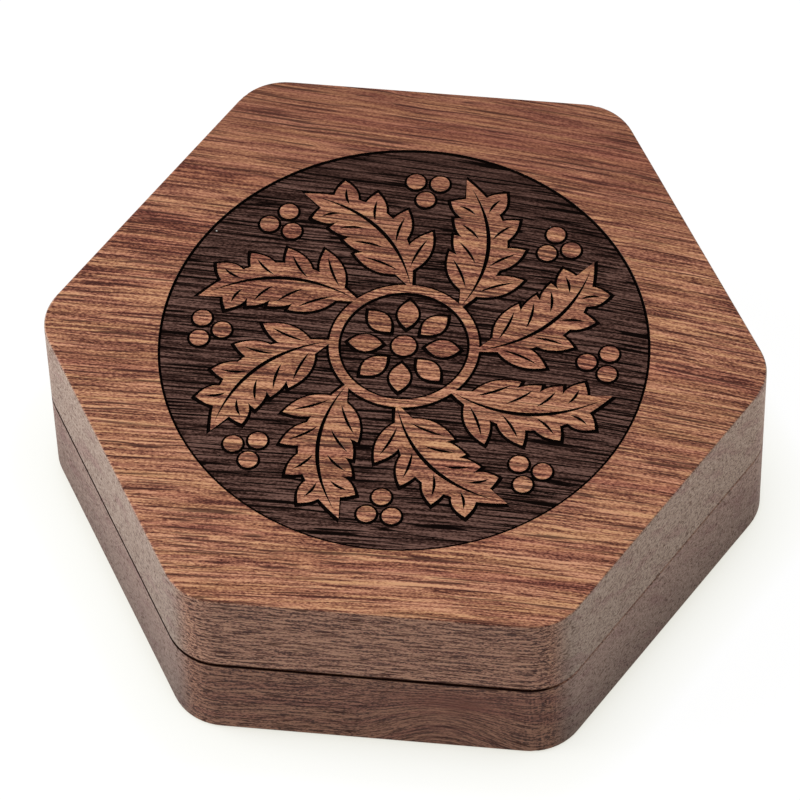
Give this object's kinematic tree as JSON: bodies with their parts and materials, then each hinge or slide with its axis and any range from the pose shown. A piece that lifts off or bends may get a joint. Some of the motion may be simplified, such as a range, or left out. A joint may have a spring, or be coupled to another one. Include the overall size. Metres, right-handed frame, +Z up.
{
  "type": "dice storage chest",
  "caption": "Hexagonal solid wood dice chest: pocketed base and matching lift-off lid with a round engraved field on top, held shut by magnets.",
  "frame": {"origin": "middle of the underside, on the surface that the chest stands on", "axes": "+Z up out of the lid, +X through two opposite corners, -Y out of the side that faces the viewer in the picture"},
  "size_m": [0.1082, 0.096, 0.034],
  "materials": {
    "lid_wood": "satin oiled, open pored; the engraved field is burnt dark brown",
    "base_wood": "satin oiled, open pored",
    "magnet_plating": "nickel plated",
    "felt": "matt wool felt"
  },
  "bodies": {
    "base": {"base_block": "base_wood", "base_magnet_1": "magnet_plating", "base_magnet_2": "magnet_plating", "base_magnet_3": "magnet_plating", "base_magnet_4": "magnet_plating", "base_magnet_5": "magnet_plating", "base_magnet_6": "magnet_plating", "base_pad_centre": "felt", "base_pad_1": "felt", "base_pad_2": "felt", "base_pad_3": "felt", "base_pad_4": "felt", "base_pad_5": "felt", "base_pad_6": "felt"},
    "lid": {"lid_block": "lid_wood", "lid_magnet_1": "magnet_plating", "lid_magnet_2": "magnet_plating", "lid_magnet_3": "magnet_plating", "lid_magnet_4": "magnet_plating", "lid_magnet_5": "magnet_plating", "lid_magnet_6": "magnet_plating", "lid_pad_centre": "felt", "lid_pad_1": "felt", "lid_pad_2": "felt", "lid_pad_3": "felt", "lid_pad_4": "felt", "lid_pad_5": "felt", "lid_pad_6": "felt"}
  },
  "joints": [
    {"name": "lid_lift", "type": "slide", "parent": "base", "child": "lid", "axis": [0, 0, 1], "range_m": [0, 0.06]}
  ]
}
